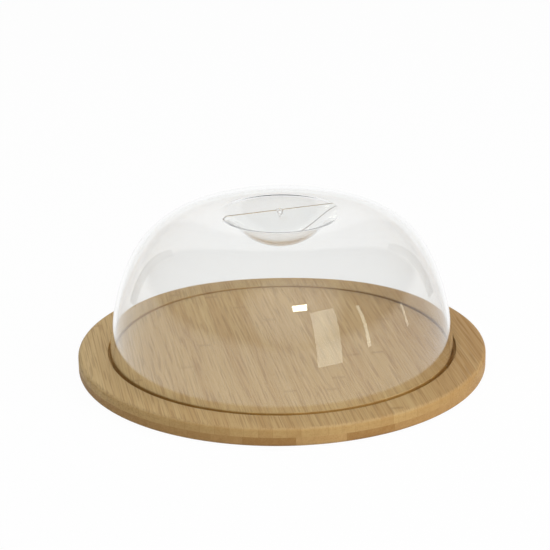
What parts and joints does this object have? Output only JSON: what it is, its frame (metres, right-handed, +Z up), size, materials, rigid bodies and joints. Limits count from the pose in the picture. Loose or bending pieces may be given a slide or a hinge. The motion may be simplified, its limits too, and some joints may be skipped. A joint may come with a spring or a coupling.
{
  "type": "domed cheese board",
  "caption": "Round laminated bamboo board with a ring groove that seats a clear moulded dome, lifted by a web across a bowl sunk in its crown.",
  "frame": {"origin": "centre of the board's flat underside", "axes": "+Z up along the dome's axis, Y along the bamboo strips, X across them"},
  "size_m": [0.24, 0.24, 0.0949],
  "materials": {
    "bamboo_top": "sanded and lightly oiled, narrow strips",
    "bamboo_bottom": "sanded and lightly oiled, wide strips",
    "clear_plastic": "clear, polished moulding"
  },
  "bodies": {
    "board": {"bottom_strip_01": "bamboo_bottom", "bottom_strip_02": "bamboo_bottom", "bottom_strip_03": "bamboo_bottom", "bottom_strip_04": "bamboo_bottom", "bottom_strip_05": "bamboo_bottom", "bottom_strip_06": "bamboo_bottom", "bottom_strip_07": "bamboo_bottom", "bottom_strip_08": "bamboo_bottom", "bottom_strip_09": "bamboo_bottom", "top_strip_01": "bamboo_top", "top_strip_02": "bamboo_top", "top_strip_03": "bamboo_top", "top_strip_04": "bamboo_top", "top_strip_05": "bamboo_top", "top_strip_06": "bamboo_top", "top_strip_07": "bamboo_top", "top_strip_08": "bamboo_top", "top_strip_09": "bamboo_top", "top_strip_10": "bamboo_top", "top_strip_11": "bamboo_top", "top_strip_12": "bamboo_top", "top_strip_13": "bamboo_top", "top_strip_14": "bamboo_top", "top_strip_15": "bamboo_top", "top_strip_16": "bamboo_top", "top_strip_17": "bamboo_top", "top_strip_18": "bamboo_top", "top_strip_19": "bamboo_top", "top_strip_20": "bamboo_top", "top_strip_21": "bamboo_top", "top_strip_22": "bamboo_top", "top_strip_23": "bamboo_top", "top_strip_24": "bamboo_top", "top_strip_25": "bamboo_top", "top_strip_26": "bamboo_top", "top_strip_27": "bamboo_top", "top_strip_28": "bamboo_top", "top_strip_29": "bamboo_top", "top_strip_30": "bamboo_top", "top_strip_31": "bamboo_top", "top_strip_32": "bamboo_top", "top_strip_33": "bamboo_top"},
    "dome": {"dome_cover": "clear_plastic"}
  },
  "joints": [
    {"name": "dome_lift", "type": "slide", "parent": "board", "child": "dome", "axis": [0, 0, 1], "range_m": [0, 0.12]}
  ]
}
